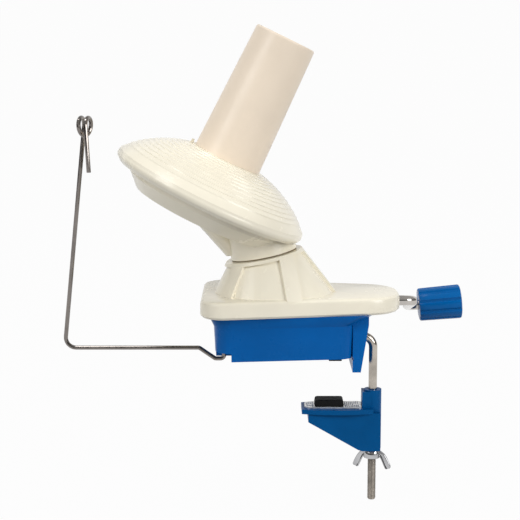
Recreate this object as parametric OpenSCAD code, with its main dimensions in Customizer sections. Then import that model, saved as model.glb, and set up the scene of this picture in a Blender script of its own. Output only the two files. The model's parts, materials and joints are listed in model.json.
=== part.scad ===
// Hand-cranked yarn ball winder that clamps to a table edge.
// Frame: +Z up, the crank is on the +X side and the yarn guide on the -X side.
// Origin: the middle of the table's top edge, where the stop lip touches it.

/* [Table clamp] */
// Diameter of the bent clamp rod
rod_d = 6; // [5:0.5:7]
// Distance from the stop lip's face to the rod's axis
rod_reach = 16; // [15:0.5:20]
// How far the rod's lower end lies under the table top
rod_drop = 107; // [100:1:130]
// Height at which the rod leaves the housing
rod_exit_z = 12.5; // [11:0.5:15]
// Bend radius of the rod's axis
rod_bend_r = 8; // [7:0.5:10]
// Length of rod held inside the housing, behind the stop lip's face
rod_grip = 22; // [16:1:26]
// Height of the gap between the table seat and the jaw pad, as drawn
clamp_gap = 32.5; // [20:0.5:40]
// Reach of the jaw from the rod's axis to its tip
jaw_reach = 50.5; // [44:0.5:56]
// Greatest width of the jaw
jaw_w = 27; // [24:1:34]
// Thickness of the jaw's flange
jaw_t = 3.4; // [3.2:0.1:5]
// Thickness of the web under the jaw
web_t = 20; // [16:0.5:22]
// Outer diameter of the bracket's sleeve
sleeve_d = 12.4; // [11:0.2:15]
// How far the sleeve rises over the jaw
sleeve_rise = 12.5; // [8:0.5:14]
// How far the sleeve reaches under the jaw's top
sleeve_fall = 30.5; // [26:0.5:34]
// Thickness of the steel jaw plate
jaw_plate_t = 1.2; // [0.8:0.1:2]
// Length, width and thickness of the rubber jaw pad
pad_l = 21; // [14:0.5:26]
pad_w = 15; // [10:0.5:18]
pad_t = 4.6; // [3:0.2:6]
// Span of the wing nut
wing_span = 27; // [24:0.5:34]
// How far the wings hang under the nut's hub
wing_drop = 10; // [7:0.5:14]

/* [Base housing] */
// Length of the housing's floor, from the tail to the stop lip's face
base_l = 94.5; // [90:0.5:97]
// Width of the floor at the tail and at the nose
base_tail_w = 73; // [70:0.5:76]
base_nose_w = 56; // [52:0.5:60]
// Height of the joint between the housing and the cover
parting_z = 33; // [32:0.5:34]
// Height at which the walls start to flare out
band_z = 25; // [22:0.5:28]
// How far the flared band reaches out past the walls
band_flare = 5; // [2:0.5:6]
// Wall thickness of both shells
wall = 2.4; // [1.8:0.1:2.8]
// Thickness of the floor
floor_t = 2.8; // [2:0.2:4]
// Height and diameter of the rubber seat strips' section
foot_h = 1.8; // [1:0.2:2.4]
foot_w = 9; // [6:0.5:12]
// How far the stop lip hangs under the table top
lip_drop = 8.3; // [5:0.1:10]
// Thickness of the stop lip at its lower edge, and of the end wall at its top
lip_t = 5.7; // [4:0.1:7]
end_wall_t = 11; // [9:0.5:13]
// Width of the stop lip
lip_w = 48; // [40:1:52]

/* [Top cover] */
// How far the cover's nose reaches past the stop lip's face
cover_nose = 33.5; // [30:0.5:36]
// How far the cover stands over the housing's flared band at the tail and at each side of it
tail_over = 5.2; // [4:0.2:8]
side_over = 7; // [5:0.5:9]
// Width of the cover at the nose
cover_nose_w = 62; // [58:0.5:70]
// Height of the cover's plate
cover_h = 12; // [11.5:0.5:14]
// Rounding of the plate's edges
cover_edge_r = 3.2; // [2:0.2:4]
// Width of the tower's foot, how much longer it is than wide, and the diameter of its top ring
tower_foot_d = 81; // [78:0.5:84]
foot_spread = 7.6; // [6:0.2:9]
tower_top_d = 54; // [53:0.5:58]
// How far the tower's foot lies nearer to the nose than its top
tower_shift = 6.8; // [5:0.1:8]
// Depth of the panels between the tower's ribs
panel_depth = 2.4; // [1:0.1:2.6]
// Width of a tower rib, and the number of ribs
rib_w = 11; // [6:0.5:14]
rib_count = 5; // [4:1:6]

/* [Rotor] */
// Distance from the stop lip's face to the middle of the seam, and the seam's height
seam_x = 61.1; // [60:0.1:62]
seam_z = 70.8; // [70:0.1:73]
// Lean of the rotor's axis to the tail, in degrees
rotor_tilt = 11.5; // [11:0.1:12]
// Diameter of the neck over the seam
neck_d = 46.4; // [45:0.2:48]
// Diameter of the journal that turns in the tower
journal_d = 38; // [36:0.5:40]
// Thickness of the tower's top, which is the journal's bearing
tower_top_t = 3.5; // [2.5:0.1:4]
// Diameter and depth of the rotor's dish, measured from the flange's rim plane
dish_d = 117; // [112:0.5:120]
dish_depth = 15.5; // [15:0.5:18]

/* [Flange and bobbin] */
// Lean of the flange's axis to the crank side, in degrees
flange_lean = 26; // [25:0.1:27]
// Height of the flange's lowest edge over the seam
rim_lift = 4.6; // [4:0.1:6]
// Height of the point where both axes meet, over the flange's rim plane
flange_drop = 47.8; // [46:0.1:50]
// Diameter of the flange
flange_d = 141; // [138:0.2:144]
// Height of the bobbin's seat over the flange's rim plane
seat_h = 28.9; // [28:0.1:32]
// Bulge of the flange's dome over a straight cone
dome_bulge = 4; // [2:0.5:5]
// Number of fine steps on the flange and the share of the dome that they cover
step_count = 11; // [6:1:14]
step_cover = 0.86; // [0.4:0.02:0.9]
// Wall thickness of the flange
flange_wall = 2.4; // [1.8:0.1:3]
// Diameter of the steel spindle
spindle_d = 8; // [6:0.5:9]
// Diameters of the bobbin at its base and at its top
bobbin_base_d = 48.4; // [46:0.2:50]
bobbin_top_d = 43.6; // [40:0.2:46]
// Height of the bobbin
bobbin_h = 92; // [70:1:110]
// Wall thickness of the bobbin
bobbin_wall = 2.2; // [1.6:0.1:3]
// Height of the spigot that carries the bobbin
spigot_h = 14; // [10:0.5:20]

/* [Gears] */
// Teeth of the crank gear and of the rotor's pinion
crank_teeth = 40; // [36:1:44]
pinion_teeth = 10; // [9:1:11]
// Teeth of the fixed sun gear and of the flange's planet gear
sun_teeth = 13; // [13:2:13]
planet_teeth = 32; // [30:1:36]
// Gap between the crank gear's edge and the seam, along the rotor's axis
gear_headroom = 8.4; // [8.2:0.1:10]
// Depth of the planet gear's outer edge under the flange's rim plane
planet_sink = 7.5; // [6:0.25:8]
// Face width of both gear pairs
face_w = 7.5; // [5:0.5:8]
// Diameter of the fixed post that carries the sun gear
post_d = 4; // [3:0.5:4]

/* [Crank] */
// Diameter of the crank rod
crank_d = 7.2; // [6:0.2:7.4]
// Height of the crank's axis over the table top
crank_z = 38; // [37.5:0.1:38.2]
// How far the crank arm's axis lies past the cover's nose
crank_out = 10.8; // [10:0.1:14]
// Length of the crank arm
crank_arm = 52; // [44:1:60]
// Angle of the arm under the horizontal, as drawn
crank_rest = 15; // [0:1:30]
// Bend radius of the crank's axis
crank_bend_r = 7; // [6:0.5:8]
// Lean of the handle pin from the crank's axis, in degrees
pin_lean = 5; // [0:0.5:7]
// Length and diameter of the knob
knob_l = 31; // [26:0.5:40]
knob_d = 25; // [20:0.5:28]
// Number and depth of the knob's flutes
flute_count = 10; // [8:1:14]
flute_depth = 1.1; // [0.5:0.1:1.6]

/* [Yarn guide] */
// Diameter of the guide's wire
wire_d = 3; // [2.4:0.1:3.2]
// Place of the guide's socket: behind the stop lip's face and towards the front
guide_x = 88.6; // [87:0.1:90]
guide_y = 27; // [25:0.5:28]
// Reach of the arm from the socket to the upright
guide_reach = 109.5; // [100:0.5:120]
// Height of the arm over the table top
guide_arm_z = 10; // [9:0.5:14]
// Height of the middle of the eye
guide_eye_z = 162; // [140:1:180]
// How far the upright leans to the flange from foot to eye
guide_lean = 16; // [8:1:20]
// Bend radius of the wire's axis
guide_bend_r = 7; // [5:0.5:9]
// Diameter of the eye's coil, measured on the wire's axis, and its pitch
eye_d = 12; // [11.5:0.5:13]
eye_pitch = 5.2; // [4.8:0.1:5.6]
// Turn of the eye's axis from the X axis, in degrees
eye_turn = 22; // [10:1:24]
// Length of the wire's free tail
tail_l = 30; // [15:1:40]

/* [Fits] */
// Radial clearance of turning and sliding fits
run_fit = 0.05; // [0.03:0.01:0.08]
// Radial clearance of pieces that are pressed or screwed together
set_fit = 0.02; // [0.01:0.01:0.04]
// Axial gap between pieces that turn against each other
end_gap = 0.3; // [0.2:0.05:0.5]

/* [Hidden] */
$fn = 64;
slice = 0.1;
cream = [0.95, 0.93, 0.86];
pink_cream = [0.94, 0.87, 0.81];
blue = [0.0, 0.36, 0.7];
dark_blue = [0.0, 0.31, 0.58];
steel = [0.7, 0.7, 0.68];
brass_tone = [0.8, 0.68, 0.4];
rubber_black = [0.06, 0.06, 0.06];
nylon = [0.9, 0.9, 0.84];

floor_z = foot_h + floor_t;
frame_t = 3.4;

// Frames of the two leaning axes

seam = [-seam_x, 0, seam_z];
rotor_dir = [-sin(rotor_tilt), 0, cos(rotor_tilt)];
flange_dir = [sin(flange_lean), 0, cos(flange_lean)];
axes_angle = rotor_tilt + flange_lean;
lip_low = -3.2;
rim_round = 3.6;
rim_r = flange_d / 2;
// The apex is the point where both axes meet
apex_h = rim_lift + (flange_drop - lip_low) * cos(axes_angle) + (rim_r - rim_round) * sin(axes_angle);
apex = seam + apex_h * rotor_dir;
flange_mid = apex - flange_drop * flange_dir;

module on_rotor(h = 0) {
    translate(seam) rotate([0, -rotor_tilt, 0]) translate([0, 0, h]) children();
}

module on_flange(s = 0) {
    translate(flange_mid) rotate([0, flange_lean, 0]) translate([0, 0, s]) children();
}

// The crank's axis meets the rotor's axis here
gear_meet = seam + (crank_z - seam_z) / cos(rotor_tilt) * rotor_dir;
meet_h = (crank_z - seam_z) / cos(rotor_tilt);

// Along the crank's axis, with z running from the meeting point to the nose
module on_crank(along = 0) {
    translate(gear_meet) rotate([0, 90, 0]) translate([0, 0, along]) children();
}

// Shared helpers

module tube(r_out, r_in, h) {
    difference() {
        cylinder(r = r_out, h = h);
        translate([0, 0, -1]) cylinder(r = r_in, h = h + 2);
    }
}

module screw(shank_d, shank_l, head_d, head_h) {
    cylinder(d = shank_d, h = shank_l);
    translate([0, 0, -head_h]) cylinder(d = head_d, h = head_h);
}

function unit(v) = v / norm(v);

function arc_points(c, r, a0, a1, n) =
    [for (i = [0:n]) let (a = a0 + (a1 - a0) * i / n) c + r * [cos(a), sin(a)]];

// Points on an arc from p to q that bulges by b to the left of the way from p to q
function bulge_points(p, q, b, n) =
    let (chord = q - p, len = norm(chord), r = (len * len / 4 + b * b) / (2 * b),
         side = [-chord[1], chord[0]] / len, mid = (p + q) / 2 - (r - b) * side,
         half = asin(len / 2 / r), a_mid = atan2(side[1], side[0]))
    arc_points(mid, r, a_mid + half, a_mid - half, n);

// A tapered outline with four round corners, from x0 to x1
function outline(x0, x1, w0, w1, r0, r1) =
    concat(
        arc_points([x0 + r0, -w0 / 2 + r0], r0, 180, 270, 8),
        arc_points([x1 - r1, -w1 / 2 + r1], r1, 270, 360, 10),
        arc_points([x1 - r1, w1 / 2 - r1], r1, 0, 90, 10),
        arc_points([x0 + r0, w0 / 2 - r0], r0, 90, 180, 8));

// Points along a route whose inner corners are rounded, one radius for each
bend_steps = 7;

function bend_points(p, v_in, v_out, r) =
    let (turn = acos(v_in * v_out), side = unit(v_out - (v_in * v_out) * v_in),
         start = p - r * tan(turn / 2) * v_in)
    [for (i = [0:bend_steps])
        let (a = turn * i / bend_steps)
        start + r * (sin(a) * v_in + (1 - cos(a)) * side)];

function round_route(route, radii) =
    let (last = len(route) - 1, dirs = [for (i = [0:last - 1]) unit(route[i + 1] - route[i])])
    concat(
        [route[0]],
        [for (i = [1:last - 1]) each bend_points(route[i], dirs[i - 1], dirs[i], radii[i - 1])],
        [route[last]]);

// Direction of a line at each of its points
function line_dirs(line) =
    let (last = len(line) - 1)
    [for (i = [0:last]) unit(line[min(i + 1, last)] - line[max(i - 1, 0)])];

function turn_square(v, dir) = unit(v - (v * dir) * dir);

// A round bar swept along a line as one unbroken tube
module swept_bar(line, d, sides, first_side) {
    n = len(line);
    dirs = line_dirs(line);
    across = [for (i = 0, u = turn_square(first_side, dirs[0]); i < n;
                   i = i + 1, u = i < n ? turn_square(u, dirs[i]) : u) u];
    points = [for (i = [0:n - 1], k = [0:sides - 1])
        let (a = 360 * k / sides)
        line[i] + d / 2 * (cos(a) * across[i] + sin(a) * cross(dirs[i], across[i]))];
    skin = [for (i = [0:n - 2], k = [0:sides - 1], half = [0, 1])
        let (a = i * sides + k, b = i * sides + (k + 1) % sides)
        half == 0 ? [a, a + sides, b + sides] : [a, b + sides, b]];
    start_cap = [for (k = [0:sides - 1]) k];
    end_cap = [for (k = [sides - 1:-1:0]) (n - 1) * sides + k];
    polyhedron(points, concat(skin, [start_cap, end_cap]), convexity = 10);
}

// A swept bar starts inside a plain round one, a little thinner than it
sweep_share = 0.98;

module bar(p, q, d) {
    v = q - p;
    translate(p)
        rotate([0, acos(v[2] / norm(v)), atan2(v[1], v[0])])
            cylinder(d = d, h = norm(v));
}

// Bevel gears: every flank runs to the point where the two shafts meet

pressure = 25;
thin_teeth = 0.9;

function involute(a) = tan(a) - a * PI / 180;

// Half a tooth's width as an angle about the gear's axis, at height y over the pitch cone
function half_tooth(y, cone, m) =
    let (pitch_r = tan(cone), base_r = pitch_r * cos(pressure),
         rho = max(pitch_r + y, base_r), half = thin_teeth * PI * m / 4)
    rho * (half / pitch_r + involute(pressure) - involute(acos(min(1, base_r / rho))))
        / sin(cone + atan(y)) * 180 / PI;

// Polar angle and azimuth of the points round the toothed edge
function gear_edge(teeth, cone, m, add, ded) =
    let (ys = [for (k = [0:3]) m * (-ded + (add + ded) * k / 3)])
    [for (t = [0:teeth - 1], side = [-1, 1], k = [0:3])
        let (y = side < 0 ? ys[k] : ys[3 - k])
        [cone + atan(y), t * 360 / teeth + side * half_tooth(y, cone, m)]];

function on_ray(d, edge) = d * [sin(edge[0]) * cos(edge[1]), sin(edge[0]) * sin(edge[1]), cos(edge[0])];

// A toothed ring between two distances from the meeting point, closed by two plain back circles
module bevel_ring(teeth, cone, d_in, d_out, add, ded, back_in, back_out) {
    m = 2 * sin(cone) / teeth;
    edge = gear_edge(teeth, cone, m, add, ded);
    n = len(edge);
    start = -180 / teeth + 180 / n;
    circle_at = function (back) [for (i = [0:n - 1])
        let (a = start + i * 360 / n)
        [back[0] * cos(a), back[0] * sin(a), back[1]]];
    loops = [
        [for (e = edge) on_ray(d_in, e)], [for (e = edge) on_ray(d_out, e)],
        circle_at(back_out), circle_at(back_in)
    ];
    points = [for (l = loops) each l];
    faces = [for (l = [0:3], i = [0:n - 1], half = [0, 1])
        let (j = (i + 1) % n, a = l * n, b = ((l + 1) % 4) * n)
        half == 0 ? [a + i, b + i, b + j] : [a + i, b + j, a + j]];
    polyhedron(points, faces, convexity = 10);
}

// Pitch cone of a gear that meshes with another at the given shaft angle
function pitch_cone(shaft_angle, own, other) =
    atan2(sin(shaft_angle), other / own + cos(shaft_angle));

crank_shaft_angle = 90 + rotor_tilt;
pinion_cone = pitch_cone(crank_shaft_angle, pinion_teeth, crank_teeth);
crank_cone = crank_shaft_angle - pinion_cone;
sun_cone = pitch_cone(axes_angle, sun_teeth, planet_teeth);
planet_cone = axes_angle - sun_cone;
tip_clear = 0.25;
crank_gear_reach = min(-meet_h - gear_headroom, crank_z - floor_z - frame_t - 1);
planet_reach = (flange_drop + planet_sink) / cos(planet_cone);
pinion_add = 0.9;
crank_add = 0.7;
sun_add = 0.95;
planet_add = 0.75;

// Outlines of the two shells

// Half width of a taper at x, for outlines that follow the same sides
base_corner = [12, 10];
function floor_outline(grow) =
    outline(-base_l - grow, grow, base_tail_w + 2 * grow, base_nose_w + 2 * grow,
            base_corner[0] + grow, base_corner[1] + grow);

draft = 1.2;
band_nose = 16;
function top_outline(grow) =
    outline(-base_l - band_flare - grow, band_nose + grow,
            base_tail_w + 2 * band_flare + 2 * grow, base_nose_w + 2 * band_flare + 2 * grow,
            base_corner[0] + band_flare + grow, base_corner[1] + band_flare + grow);

cover_tail = base_l + band_flare + tail_over;
cover_tail_w = base_tail_w + 2 * band_flare + 2 * side_over;
tower_x = seam_x - tower_shift;
cover_corner = [16, 26];
function cover_outline(grow) =
    outline(-cover_tail - grow, cover_nose + grow, cover_tail_w + 2 * grow, cover_nose_w + 2 * grow,
            cover_corner[0] + grow, cover_corner[1] + grow);

module sheet(points, z) {
    translate([0, 0, z]) linear_extrude(slice) polygon(points);
}

cover_top = parting_z + cover_h;

// Base housing

// Walls from the skirt to the flared band and from the band to the parting line
module base_solid(grow = 0, bottom = foot_h, top = parting_z) {
    hull() {
        sheet(floor_outline(grow), bottom);
        sheet(floor_outline(draft + grow), band_z);
    }
    hull() {
        sheet(floor_outline(draft + grow), band_z);
        sheet(top_outline(grow), top - slice);
    }
}

// Places of the screws that hold the cover
cover_screw_at = [
    [-76, base_tail_w / 2 - 4.5], [-76, -base_tail_w / 2 + 4.5],
    [-8, base_nose_w / 2 - 8], [-8, -base_nose_w / 2 + 8]
];
cover_screw_d = 2.6;
cover_head_d = 5.4;
cover_head_h = 1.8;
cover_seat_z = 24;
cover_screw_l = parting_z - cover_seat_z + 8;
post_boss_d = 8;

pocket_x = 83.5;
pocket_y = 16;
pocket_z = 7.5;
socket_d = 8.4;
socket_top = 25;
peg_top = 22;

// The lip's face ends at the table top, with a small relief groove over it
lip_relief = 0.6;
lip_profile = [
    [0, -lip_drop], [lip_t, -lip_drop], [end_wall_t, band_z], [end_wall_t, parting_z - 1], [0, parting_z - 1],
    [0, foot_h], [lip_relief, foot_h], [lip_relief, 0], [0, 0]
];

rod_block_w = 13;
rod_block_top = rod_exit_z + rod_d / 2 + 4;

module base_housing() {
    color(blue)
    difference() {
        union() {
            difference() {
                base_solid();
                base_solid(-wall, floor_z, parting_z + 1);
            }
            rotate([90, 0, 0]) translate([0, 0, -lip_w / 2]) linear_extrude(lip_w) polygon(lip_profile);
            // Ceiling of the guide's pocket
            intersection() {
                base_solid();
                translate([-base_l - 8, -base_tail_w, floor_z - 1])
                    cube([base_l + 8 - pocket_x + wall, base_tail_w - pocket_y + wall,
                          pocket_z + wall - floor_z + 1]);
            }
            translate([-guide_x, -guide_y, pocket_z]) cylinder(d = socket_d, h = socket_top - pocket_z);
            for (p = cover_screw_at)
                translate([p[0], p[1], floor_z - 1]) cylinder(d = post_boss_d, h = parting_z - floor_z + 1);
            // Block that grips the clamp rod
            translate([-rod_grip + 3, -rod_block_w / 2, floor_z - 1])
                cube([rod_grip, rod_block_w, rod_block_top - floor_z + 1]);
        }
        // Pocket for the guide's wire
        translate([-base_l - 20, -base_tail_w, -1])
            cube([base_l + 20 - pocket_x, base_tail_w - pocket_y, pocket_z + 1]);
        translate([-guide_x, -guide_y, 0]) cylinder(d = wire_d + 2 * run_fit, h = peg_top + 1);
        for (p = cover_screw_at) {
            translate([p[0], p[1], foot_h - 1])
                cylinder(d = cover_head_d + 1, h = cover_seat_z - foot_h + 1);
            translate([p[0], p[1], cover_seat_z - 1])
                cylinder(d = cover_screw_d + 0.6, h = parting_z - cover_seat_z + 2);
        }
        translate([-rod_grip, 0, rod_exit_z]) rotate([0, 90, 0])
            cylinder(d = rod_d + 2 * set_fit, h = rod_grip + end_wall_t + 10);
        for (p = frame_screw_at) {
            translate([p[0], p[1], foot_h - 1]) cylinder(d = frame_head_d + 1, h = frame_head_h + 1.2);
            translate([p[0], p[1], foot_h]) cylinder(d = frame_screw_d + 0.6, h = floor_t + 1);
        }
    }
}

// Two rubber strips across the floor
strip_at = [-73, -12];
strip_l = 50;

module seat_strips() {
    color(rubber_black)
    for (x = strip_at)
        translate([x - foot_w / 2, -strip_l / 2, 0]) cube([foot_w, strip_l, foot_h]);
}

module cover_screws() {
    color(steel)
    for (p = cover_screw_at)
        translate([p[0], p[1], cover_seat_z]) screw(cover_screw_d, cover_screw_l, cover_head_d, cover_head_h);
}

// Gear frame: a chassis on the floor that holds the post and the inner crank bush

frame_top = floor_z + frame_t;
frame_l = 42;
frame_w = 34;
frame_x = gear_meet[0] - 16.6;
frame_screw_d = 2.6;
frame_head_d = 5;
frame_head_h = 1.4;
frame_screw_at = [
    [frame_x + 5, frame_w / 2 - 5], [frame_x + 5, -frame_w / 2 + 5],
    [frame_x + frame_l - 5, frame_w / 2 - 5], [frame_x + frame_l - 5, -frame_w / 2 + 5]
];

bush_wall = 1.1;
bush_l = 10;
inner_bush_at = 17;
pillar_w = 17;
pillar_top = crank_z + crank_d / 2 + bush_wall + 3.5;
post_low = meet_h + 6.5;
post_hold_l = 9;
post_hold_d = post_d + 4.4;
stem_t = 7;

module gear_frame() {
    color(nylon)
    difference() {
        union() {
            translate([frame_x, -frame_w / 2, floor_z]) cube([frame_l, frame_w, frame_t]);
            // Pillar of the inner crank bush
            on_crank(inner_bush_at) frame_pillar();
            // Stem that reaches round the crank gear to the post
            translate([frame_x, -stem_t, floor_z])
                cube([stem_t, 2 * stem_t, post_foot[2] - floor_z + 6]);
            translate([frame_x + 1, -stem_t / 2, post_foot[2] - 1])
                cube([post_foot[0] - frame_x - 1, stem_t, 7]);
            on_rotor(post_low) cylinder(d = post_hold_d, h = post_hold_l);
        }
        on_rotor(post_low + 1.5) cylinder(d = post_d + 2 * set_fit, h = post_hold_l);
        on_crank(inner_bush_at - 1) cylinder(d = crank_d + 2 * bush_wall + 2 * set_fit, h = bush_l + 2);
        for (p = frame_screw_at)
            translate([p[0], p[1], floor_z - 1]) cylinder(d = frame_screw_d + 2 * set_fit, h = frame_t + 3);
    }
}

post_foot = seam + (post_low + 1) * rotor_dir;

// In the crank's frame, local -x points up
module frame_pillar() {
    translate([crank_z - pillar_top, -pillar_w / 2, 0])
        cube([pillar_top - floor_z, pillar_w, bush_l]);
}

module frame_screws() {
    color(steel)
    for (p = frame_screw_at)
        translate([p[0], p[1], foot_h + frame_head_h + 0.2])
            screw(frame_screw_d, floor_t + frame_t - frame_head_h - 0.4, frame_head_d, frame_head_h);
}

module crank_bush(along) {
    on_crank(along) tube(crank_d / 2 + bush_wall, crank_d / 2 + run_fit, bush_l);
}

module crank_bush_inner() {
    color(brass_tone) crank_bush(inner_bush_at);
}

// The outer bush ends just inside the cover's nose
outer_bush_at = cover_nose - gear_meet[0] - bush_l - 0.6;

module crank_bush_outer() {
    color(brass_tone) crank_bush(outer_bush_at);
}

sun_in = planet_reach - face_w;
sun_low = apex_h - planet_reach * cos(sun_cone);
sun_high = apex_h - sun_in * cos(sun_cone);
post_top = sun_high + 0.5;

module sun_post() {
    color(steel)
    on_rotor(post_low + 1.5) difference() {
        cylinder(d = post_d, h = post_top - post_low - 1.5);
        translate([0, 0, post_top - post_low - 1.5 - sun_screw_l])
            cylinder(d = sun_screw_d + 2 * set_fit, h = sun_screw_l + 1);
    }
}

sun_screw_d = 2;
sun_screw_l = 6;
sun_hub_d = 12;

module sun_gear() {
    m = 2 * sin(sun_cone) / sun_teeth;
    hub_r = sun_in * sin(sun_cone - atan(m * (planet_add + tip_clear))) - 0.8;
    color(nylon)
    difference() {
        union() {
            on_rotor(apex_h) rotate([180, 0, 0])
                bevel_ring(sun_teeth, sun_cone, sun_in, planet_reach, sun_add, planet_add + tip_clear,
                           [hub_r - 1, apex_h - sun_high], [hub_r - 1, apex_h - sun_low]);
            on_rotor(sun_low) cylinder(r = hub_r, h = sun_high - sun_low);
        }
        on_rotor(sun_low - 1) cylinder(d = post_d + 2 * set_fit, h = sun_high - sun_low + 3);
    }
}

module sun_screw() {
    color(steel)
    on_rotor(post_top) mirror([0, 0, 1]) screw(sun_screw_d, sun_screw_l - 0.5, sun_hub_d / 2, 1.5);
}

washer_t = 0.9;

module thrust_washer() {
    color(nylon)
    on_rotor() tube(neck_d / 2 - 0.4, journal_d / 2 + end_gap, washer_t);
}

// Clamp rod: out of the housing, round a bend and down

module clamp_rod() {
    color(steel) {
        bar([-rod_grip, 0, rod_exit_z], [rod_reach - rod_bend_r, 0, rod_exit_z], rod_d);
        translate([rod_reach - rod_bend_r, 0, rod_exit_z - rod_bend_r]) rotate([90, 0, 0])
            rotate_extrude(angle = 90) translate([rod_bend_r, 0]) circle(d = rod_d);
        bar([rod_reach, 0, -rod_drop], [rod_reach, 0, rod_exit_z - rod_bend_r], rod_d);
    }
}

retainer_t = 1.2;

module rod_retainer() {
    color(steel)
    translate([-rod_grip + 0.8, 0, rod_exit_z]) rotate([0, 90, 0])
        tube(rod_d / 2 + 3, rod_d / 2 + set_fit, retainer_t);
}

// Top cover: a plate with a ribbed tower cut by the slanted seam

// Edge rounding of the plate, as pairs of height and inset
edge_steps = [for (a = [0:30:90]) cover_edge_r * [sin(a), 1 - cos(a)]];

module cover_plate() {
    hull() {
        sheet(cover_outline(-cover_edge_r / 2), parting_z);
        sheet(cover_outline(0), parting_z + cover_edge_r / 2);
        for (e = edge_steps) sheet(cover_outline(-e[1]), cover_top - cover_edge_r + e[0] - slice);
    }
}

module tower(inset, foot_z, drop) {
    hull() {
        for (x = foot_spread / 2 * [-1, 1])
            translate([x - tower_x, 0, foot_z]) cylinder(d = tower_foot_d - 2 * inset, h = slice, $fn = 48);
        on_rotor(-drop - slice) cylinder(d = tower_top_d - 2 * inset, h = slice, $fn = 48);
    }
}

rib_start = -70;
lip_band = 2.2;

module rib_blocks() {
    for (i = [0:rib_count - 1])
        translate([-tower_x, 0, parting_z]) rotate([0, 0, rib_start + i * 360 / rib_count])
            translate([0, -rib_w / 2, 0]) cube([tower_foot_d, rib_w, seam_z]);
    on_rotor(-lip_band) cylinder(d = 2 * tower_top_d, h = 2 * lip_band);
}

module cover_solid() {
    cover_plate();
    tower(panel_depth, cover_top - 1, 0);
    intersection() {
        tower(0, cover_top - 1, 0);
        rib_blocks();
    }
}

nose_boss_l = 15;
nose_boss_w = 17;
nose_cap_d = 13;

module top_cover() {
    color(cream)
    difference() {
        union() {
            difference() {
                cover_solid();
                // Hollow under the plate, open to the housing
                hull() {
                    sheet(top_outline(-wall), parting_z - 1);
                    sheet(top_outline(-wall), cover_top - wall - slice);
                }
                tower(panel_depth + wall, cover_top - wall - 1, tower_top_t);
            }
            intersection() {
                union() for (p = cover_screw_at)
                    translate([p[0], p[1], parting_z]) cylinder(d = post_boss_d, h = seam_z - parting_z);
                union() {
                    plate_core();
                    tower(panel_depth + wall / 2, cover_top - wall, tower_top_t / 2);
                }
            }
            translate([cover_nose - nose_boss_l - 8, -nose_boss_w / 2, parting_z])
                cube([nose_boss_l, nose_boss_w, cover_h - 1]);
        }
        on_rotor(-tower_top_t - 2) cylinder(d = journal_d + 2 * run_fit, h = tower_top_t + 4);
        on_crank(outer_bush_at - 14)
            cylinder(d = crank_d + 2 * bush_wall + 2 * set_fit, h = bush_l + 14);
        on_crank(outer_bush_at) cylinder(d = crank_d + 1, h = bush_l + 10);
        for (p = cover_screw_at)
            translate([p[0], p[1], parting_z - 1])
                cylinder(d = cover_screw_d + 2 * set_fit, h = cover_screw_l - parting_z + cover_seat_z + 1.5);
    }
}

// The space that the screw posts may fill inside the plate
module plate_core() {
    translate([-cover_tail, -cover_tail_w / 2, parting_z])
        cube([cover_tail + cover_nose, cover_tail_w, cover_h - wall / 2]);
}

// Crank

crank_start = 4.6;
arm_x = cover_nose + crank_out;
arm_dir = [0, cos(crank_rest), -sin(crank_rest)];
pin_dir = [cos(pin_lean), 0, sin(pin_lean)];
crank_foot = gear_meet + [crank_start, 0, 0];
arm_foot = [arm_x, 0, crank_z];
arm_head = arm_foot + crank_arm * arm_dir;
knob_gap = crank_d / 2 + 5.2;
pin_l = knob_gap + knob_l - 2;

bend_lap = 3;
crank_line = round_route([arm_foot - (crank_bend_r + bend_lap) * [1, 0, 0], arm_foot, arm_head,
                          arm_head + (crank_bend_r + bend_lap) * pin_dir],
                         [crank_bend_r, crank_bend_r]);

module crank_rod() {
    color(steel)
    difference() {
        union() {
            bar(crank_foot, arm_foot - crank_bend_r * [1, 0, 0], crank_d);
            swept_bar(crank_line, sweep_share * crank_d, 24, [0, 0, 1]);
            bar(arm_head + crank_bend_r * pin_dir, arm_head + pin_l * pin_dir, crank_d);
        }
        on_crank(hub_pin_at) rotate([90, 0, 0])
            cylinder(d = hub_pin_d + 2 * set_fit, h = 2 * crank_hub_d, center = true);
    }
}

crank_hub_d = 16;
hub_back = inner_bush_at - end_gap;
hub_pin_at = 11.5;
hub_pin_d = 2.5;
gear_back = 6.6;
web_at = 4;
crank_gear_in = crank_gear_reach - face_w;

module crank_gear() {
    m = 2 * sin(crank_cone) / crank_teeth;
    color(nylon)
    difference() {
        union() {
            on_crank()
                bevel_ring(crank_teeth, crank_cone, crank_gear_in, crank_gear_reach,
                           crank_add, pinion_add + tip_clear,
                           [crank_gear_in - 1.5, gear_back], [crank_gear_reach, gear_back]);
            on_crank(web_at) cylinder(r = crank_gear_in, h = gear_back - web_at);
            on_crank(web_at) cylinder(d = crank_hub_d, h = hub_back - web_at);
        }
        on_crank() cylinder(d = crank_d + 2 * set_fit, h = hub_back + 1);
        on_crank(hub_pin_at) rotate([90, 0, 0])
            cylinder(d = hub_pin_d + 2 * set_fit, h = 2 * crank_hub_d, center = true);
    }
}

module crank_gear_pin() {
    color(steel)
    on_crank(hub_pin_at) rotate([90, 0, 0]) cylinder(d = hub_pin_d, h = crank_hub_d - 1, center = true);
}

collar_l = 5;

module crank_collar() {
    color(steel)
    on_crank(inner_bush_at + bush_l + end_gap) tube(crank_d / 2 + 3, crank_d / 2 + set_fit, collar_l);
}

// Knob, drawn along its own axis

module on_pin(along = 0) {
    translate(arm_head) rotate([0, 90 - pin_lean, 0]) translate([0, 0, along]) children();
}

cap_recess = 4;
retainer_h = 1.6;
flute_points = 12;

function flute_outline(r) =
    [for (i = [0:flute_count * flute_points - 1])
        let (a = i * 360 / flute_count / flute_points)
        (r - flute_depth * pow(abs(sin(a * flute_count / 2)), 6)) * [cos(a), sin(a)]];

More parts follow.
